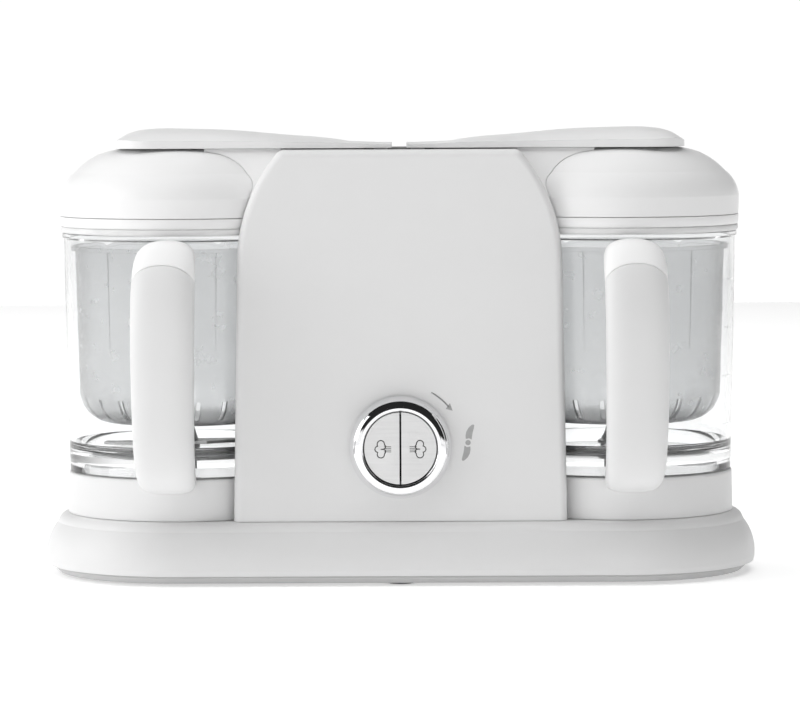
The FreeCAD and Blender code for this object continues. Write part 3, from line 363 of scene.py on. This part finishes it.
# The groove between cap and grip, with lengths in mm and places in rows of HANDLE_LINE.
SEAM_STEP = 2 * STEPS + 5
SEAM_PLACE = SEAM_STEP / STEPS
SEAM_GAP = 0.3
SEAM_DROOP = 0.3
DROOP_REACH = 0.8
SEAM_EDGE = (
    # the rounded edge of the groove: how far a section shrinks, and how far from the gap it lies
    (0.0, 0.5), (0.14, 0.16), (0.5, 0.0),
)

# The bowl's wall and the pedestal that the handle keeps clear of, in mm.
PEDESTAL_TOP = 57.8
PEDESTAL_CLEARANCE = 63.5
WALL_FOOT_HEIGHT = 56.3
WALL_FOOT_RADIUS = 61.6
WALL_SLOPE = 2.1 / 125.0


def curve_point(table, place):
    """Catmull-Rom point at a fractional row of a table."""
    row = min(int(place), len(table) - 2)
    share = place - row
    before, here, after, beyond = (table[min(max(row + step, 0), len(table) - 1)]
                                   for step in (-1, 0, 1, 2))
    values = []
    for a, b, c, d in zip(before, here, after, beyond):
        cubic = 3.0 * (b - c) + d - a
        square = 2.0 * a - 5.0 * b + 4.0 * c - d
        values.append(b + 0.5 * share * (c - a + share * (square + share * cubic)))
    return values


def skin_radius(height):
    """Outside of the bowl at a height, or of the clearance round the pedestal under it, in mm."""
    if height < PEDESTAL_TOP:
        return PEDESTAL_CLEARANCE
    return WALL_FOOT_RADIUS + WALL_SLOPE * (height - WALL_FOOT_HEIGHT)


def rounded(value, power):
    """The cosine or sine of a point on a circle, moved onto a rounded rectangle."""
    return math.copysign(abs(value) ** (2.0 / power), value)


def handle_ring(word, side, place, shrink=0.0, shift=0.0):
    """One section of the handle, kept outside the bowl's wall. Near the seam its sides droop."""
    axis = BOWL_AXIS[word]
    turn = HANDLE_TURN * side
    droop = SEAM_DROOP * math.exp(-((place - SEAM_PLACE) / DROOP_REACH) ** 2)
    ring = []
    for index in range(AROUND):
        angle = 2.0 * math.pi * index / AROUND
        here = place + droop * math.cos(angle) ** 2
        reach, height, width, depth, power = curve_point(HANDLE_LINE, here)
        ahead = curve_point(HANDLE_LINE, min(here + HEADING_STEP, len(HANDLE_LINE) - 1.0))
        behind = curve_point(HANDLE_LINE, max(here - HEADING_STEP, 0.0))
        heading = math.atan2(ahead[1] - behind[1], ahead[0] - behind[0])
        across = rounded(math.cos(angle), power) * (width / 2.0 - shrink)
        out = rounded(math.sin(angle), power) * (depth / 2.0 - shrink)
        away = reach + shift * math.cos(heading) - out * math.sin(heading)
        level = height + shift * math.sin(heading) + out * math.cos(heading)
        limit = skin_radius(level)
        if math.hypot(across, away) < limit:
            away = math.sqrt(limit ** 2 - across ** 2)
        x = across * math.cos(turn) + away * math.sin(turn)
        y = across * math.sin(turn) - away * math.cos(turn)
        ring.append(Vector((axis.x + x * MM, axis.y + y * MM, level * MM)))
    return ring


def make_handle(side, word):
    """Grip and top cap, parted by a fine groove across the bend."""
    last = (len(HANDLE_LINE) - 1) * STEPS
    gap = SEAM_GAP / 2.0
    cap = [handle_ring(word, side, step / STEPS) for step in range(SEAM_STEP)]
    cap += [handle_ring(word, side, SEAM_PLACE, shrink, -gap - apart) for shrink, apart in SEAM_EDGE]
    grip = [handle_ring(word, side, SEAM_PLACE, shrink, gap + apart)
            for shrink, apart in reversed(SEAM_EDGE)]
    grip += [handle_ring(word, side, step / STEPS) for step in range(SEAM_STEP + 1, last + 1)]
    body = word + "_bowl_set"
    piece = mesh_piece(word + "_handle_grip", *tube_of_rings(grip), MATERIALS["white_handle"],
                       body, "white_handle")
    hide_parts(word + "_handle")
    # the cap takes the lighter copy of the grip's plastic, as painted light on the handle's top
    mesh_piece(word + "_handle_cap", *tube_of_rings(cap), MATERIALS["white_cap"],
               body, "white_handle")


# ---------------------------------------------------------------- bowls and baskets

# Raised level lines: angles in radians, lengths in mm.
LEVEL_ANGLE = 1.22
LEVEL_HALF_ANGLES = (0.045, 0.085, 0.045, 0.085)
LEVEL_FIRST = 24.0
LEVEL_SPACING = 26.0
LEVEL_SUNK = 0.12
LEVEL_DEPTH = 0.45
LEVEL_THICKNESS = 0.9
LEVEL_STEPS = 4


def curved_bar(word, angles, radii, heights):
    """A bar that follows the bowl's wall, between two radii and two heights."""
    inner, outer = radii
    low, high = heights
    corners = ((inner, low), (outer, low), (outer, high), (inner, high))
    return tube_of_rings([[round_bowl(word, radius, height, angle) for radius, height in corners]
                          for angle in angles])


def make_level_marks(word):
    """Raised level lines without numbers on the bowl's right-hand side."""
    parts = []
    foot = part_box(word + "_bowl")[0].z
    for index, half_angle in enumerate(LEVEL_HALF_ANGLES):
        height = foot + (LEVEL_FIRST + LEVEL_SPACING * index) * MM
        radius = (skin_radius(height / MM) - LEVEL_SUNK) * MM
        angles = [LEVEL_ANGLE + half_angle * step / LEVEL_STEPS
                  for step in range(-LEVEL_STEPS, LEVEL_STEPS + 1)]
        parts.append(curved_bar(word, angles, (radius, radius + LEVEL_DEPTH * MM),
                                (height, height + LEVEL_THICKNESS * MM)))
    mesh_piece(word + "_level_marks", *join(parts), MATERIALS["clear_bowl"],
               word + "_bowl_set", "clear_bowl", False)


# Ribs on the basket, in mm. Pairs go from the rib's top to its lower end.
RIB_COUNT = 6
RIB_STEPS = 8
RIB_TURN = math.radians(21.0)
RIB_BELOW_RIM = 2.2
RIB_END_SHARE = 0.42
RIB_OUT = (0.5, 0.1)
RIB_HALF_WIDTH = (0.28, 0.13)
RIB_SUNK = 0.05
BASKET_RADIUS = 57.6
BASKET_TAPER = 2.0
BASKET_ROUND = 15.0


def make_basket_ribs(side, word):
    """Upright ribs on the basket's tapered wall that fade out half way down."""
    low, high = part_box(word + "_steam_basket")
    top = high.z - RIB_BELOW_RIM * MM
    bottom = between(low.z, high.z, RIB_END_SHARE)
    straight = high.z - low.z - BASKET_ROUND * MM
    parts = []
    for index in range(RIB_COUNT):
        angle = -side * RIB_TURN + index * 2.0 * math.pi / RIB_COUNT
        rings = []
        for step in range(RIB_STEPS + 1):
            share = step / RIB_STEPS
            height = between(top, bottom, share)
            taper = BASKET_TAPER * (high.z - height) / straight
            inner = (BASKET_RADIUS - taper - RIB_SUNK) * MM
            outer = inner + between(*RIB_OUT, share) * MM
            half = between(*RIB_HALF_WIDTH, share) / BASKET_RADIUS
            corners = ((inner, -half), (inner, half), (outer, half), (outer, -half))
            rings.append([round_bowl(word, radius, height, angle + turn)
                          for radius, turn in corners])
        parts.append(tube_of_rings(rings))
    mesh_piece(word + "_basket_ribs", *join(parts), MATERIALS["milky_basket"],
               word + "_bowl_set", "milky_basket", False)


# ---------------------------------------------------------------- printed marks

MARK_DEPTH = 0.06 * MM
MARK_CLEAR = 0.01 * MM
STROKE_OVERLAP = 0.35


def flat_mark(outline, face):
    """A thin printed solid in front of a face, from (x, z) points about the knob's centre in mm."""
    back = [Vector((KNOB_MIDDLE.x + x * MM, face - MARK_CLEAR, KNOB_MIDDLE.z + z * MM))
            for x, z in outline]
    front = [point - Vector((0.0, MARK_DEPTH, 0.0)) for point in back]
    return tube_of_rings([back, front])


def stroke(line, width, closed=False):
    """Outlines of the short bars that make up a drawn line."""
    bars = []
    count = len(line) if closed else len(line) - 1
    for index in range(count):
        start = Vector(line[index])
        finish = Vector(line[(index + 1) % len(line)])
        ahead = (finish - start).normalized()
        along = ahead * width * STROKE_OVERLAP
        side = Vector((-ahead.y, ahead.x)) * width / 2.0
        bars.append([tuple(start - along + side), tuple(finish + along + side),
                     tuple(finish + along - side), tuple(start - along - side)])
    return bars


PUFFS = (
    # discs that make up a steam cloud: outward, up and radius in mm
    (0.0, 2.7, 1.9), (0.0, -2.7, 1.9), (1.5, 0.0, 1.6), (-1.3, 1.3, 1.2), (-1.3, -1.3, 1.2),
)
CLOUD_POINTS = 72
CLOUD_PLACE = (10.3, -0.4)
CLOUD_WIDTH = 0.5
STEAM_LEVELS = (-1.7, -0.8, 0.1, 1.0)
STEAM_ENDS = (5.0, 8.4)
STEAM_RISE = 0.1
STEAM_WIDTH = 0.42


def cloud_line(x, z, side):
    """Outline of the discs of a cloud, seen from its middle."""
    points = []
    for step in range(CLOUD_POINTS):
        angle = 2.0 * math.pi * step / CLOUD_POINTS
        reach = 0.0
        for out, up, radius in PUFFS:
            along = out * math.cos(angle) + up * math.sin(angle)
            inside = along ** 2 - out ** 2 - up ** 2 + radius ** 2
            if inside > 0.0:
                reach = max(reach, along + math.sqrt(inside))
        points.append((x + side * reach * math.cos(angle), z + reach * math.sin(angle)))
    return points


def make_steam_marks():
    """A steam cloud on each button, with four short lines towards the middle."""
    near, far = STEAM_ENDS
    for side, word in SIDES:
        bars = stroke(cloud_line(side * CLOUD_PLACE[0], CLOUD_PLACE[1], side), CLOUD_WIDTH, closed=True)
        for level in STEAM_LEVELS:
            bars += stroke([(side * near, level - STEAM_RISE), (side * far, level)], STEAM_WIDTH)
        parts = [flat_mark(bar, BUTTON_FACE) for bar in bars]
        mesh_piece(word + "_steam_mark", *join(parts), MATERIALS["dark_ink"],
                   word + "_button", "grey_plastic", False)


ARROW_RADIUS = 33.2
ARROW_DEGREES = range(60, 39, -2)
ARROW_WIDTH = 0.75
ARROW_HEAD = (
    # corners: radius in mm and degrees round the knob
    (35.0, 41.5), (31.3, 40.0), (33.6, 34.8),
)
BLADE_MARK = (35.7, 2.2)
BLADE_WING = (
    # half of the blade symbol, from its middle in mm
    (-1.2, 2.0), (-1.3, 3.8), (-0.9, 5.8), (0.2, 7.8), (1.8, 9.3), (2.8, 9.7),
    (3.3, 9.1), (3.0, 7.4), (2.4, 5.2), (2.1, 3.4), (1.9, 1.6), (0.6, 2.3),
)
BLADE_HUB = 1.4
HUB_POINTS = 24


def ring_point(radius, degrees):
    angle = math.radians(degrees)
    return (radius * math.cos(angle), radius * math.sin(angle))


def make_turn_marks():
    """Arrow round the knob and a blade symbol beside it, printed on the tower."""
    arc = [ring_point(ARROW_RADIUS, degrees) for degrees in ARROW_DEGREES]
    outlines = stroke(arc, ARROW_WIDTH)
    outlines.append([ring_point(radius, degrees) for radius, degrees in ARROW_HEAD])
    middle_x, middle_z = BLADE_MARK
    for half in (1, -1):
        outlines.append([(middle_x + half * x, middle_z + half * z) for x, z in BLADE_WING])
    hub = [ring_point(BLADE_HUB, 360.0 * turn / HUB_POINTS) for turn in range(HUB_POINTS)]
    outlines.append([(middle_x + x, middle_z + z) for x, z in hub])
    parts = [flat_mark(outline, TOWER_FACE) for outline in outlines]
    mesh_piece("turn_marks", *join(parts), MATERIALS["pale_ink"], "stand", "grey_plastic", False)


# ---------------------------------------------------------------- stage, light and camera

FLOOR_SIZE = 5.0
FLOOR_TONE = 0.96
FLOOR_VARIATION = 0.005
FLOOR_GLOW = 0.34


def make_stage():
    """Plain pale floor that glows a little, so that it stays as pale as the surround."""
    bpy.ops.mesh.primitive_plane_add(size=FLOOR_SIZE, location=(0.0, 0.0, 0.0))
    floor = bpy.context.object
    floor.name = "floor"
    paint = Shader("floor_paint", shade(FLOOR_TONE), 0.9)
    paint.vary_color(shade(FLOOR_TONE - FLOOR_VARIATION), shade(FLOOR_TONE + FLOOR_VARIATION), 3.0)
    paint.set("Emission Color", (1.0, 1.0, 1.0, 1.0))
    paint.set("Emission Strength", FLOOR_GLOW)
    floor.data.materials.append(paint.material)


CEILING = (0.1, 0.0, 0.995)
CEILING_EDGE = (
    # pairs of place and tone: how far towards the ceiling it is still white, and where it is dark
    (0.13, 1.0), (0.19, 0.02),
)
WORLD_STRENGTH = 1.03


def make_world():
    """White surround under a dark ceiling, which the chrome ring shows."""
    world = bpy.data.worlds.new("studio")
    world.use_nodes = True
    bpy.context.scene.world = world
    tree = world.node_tree
    coords = tree.nodes.new("ShaderNodeTexCoord")
    towards = tree.nodes.new("ShaderNodeVectorMath")
    towards.operation = "DOT_PRODUCT"
    towards.inputs[1].default_value = CEILING
    ramp = tree.nodes.new("ShaderNodeValToRGB")
    tree.links.new(coords.outputs["Generated"], towards.inputs[0])
    tree.links.new(towards.outputs["Value"], ramp.inputs["Fac"])
    tree.links.new(ramp.outputs["Color"], tree.nodes["Background"].inputs["Color"])
    for stop, (place, tone) in zip(ramp.color_ramp.elements, CEILING_EDGE):
        stop.position = place
        stop.color = (*shade(tone), 1.0)
    tree.nodes["Background"].inputs["Strength"].default_value = WORLD_STRENGTH


SOFTBOXES = (
    # name, place and target in metres, side in metres, power in watts, and whether chrome shows it
    ("top_softbox", (-0.7, 0.3, 2.4), (-0.7, 0.3, 0.0), 5.0, 122.0, False),
    ("left_softbox", (-2.0, -0.5, 0.9), (0.0, 0.0, 0.1), 1.4, 13.0, True),
)


def make_lights():
    """Square soft lights above and to the left."""
    for name, place, aim, size, power, in_chrome in SOFTBOXES:
        data = bpy.data.lights.new(name, "AREA")
        data.shape = "SQUARE"
        data.size = size
        data.energy = power
        light = bpy.data.objects.new(name, data)
        light.location = place
        light.rotation_euler = (Vector(aim) - Vector(place)).to_track_quat("-Z", "Y").to_euler()
        light.visible_glossy = in_chrome
        bpy.context.scene.collection.objects.link(light)


# Camera, in metres. The sensor is in mm, and the field is as wide as the picture at the object.
CAMERA_DISTANCE = 2.15
CAMERA_HEIGHT = 0.27
CAMERA_ROLL = math.radians(-0.25)
CAMERA_FAR = 50.0
AIM_HEIGHT = 0.1170
FIELD_WIDTH = 0.43431
SENSOR = 36.0


def make_camera():
    """Long lens, a little above the lids and tipped down, square to the front."""
    aim = Vector((0.0, BASE_MIDDLE.y, AIM_HEIGHT))
    place = Vector((0.0, BASE_MIDDLE.y - CAMERA_DISTANCE, CAMERA_HEIGHT))
    data = bpy.data.cameras.new("camera")
    camera = bpy.data.objects.new("camera", data)
    camera.location = place
    facing = (aim - place).to_track_quat("-Z", "Y") @ Quaternion((0.0, 0.0, 1.0), CAMERA_ROLL)
    camera.rotation_euler = facing.to_euler()
    data.sensor_width = SENSOR
    data.lens = SENSOR * (aim - place).length / FIELD_WIDTH
    data.clip_end = CAMERA_FAR
    bpy.context.scene.collection.objects.link(camera)
    bpy.context.scene.camera = camera


make_stage()
make_world()
make_lights()
make_camera()
dress_frame()
for side, word in SIDES:
    make_handle(side, word)
    make_level_marks(word)
    make_basket_ribs(side, word)
make_steam_marks()
make_turn_marks()
bpy.context.scene.view_settings.view_transform = "Standard"
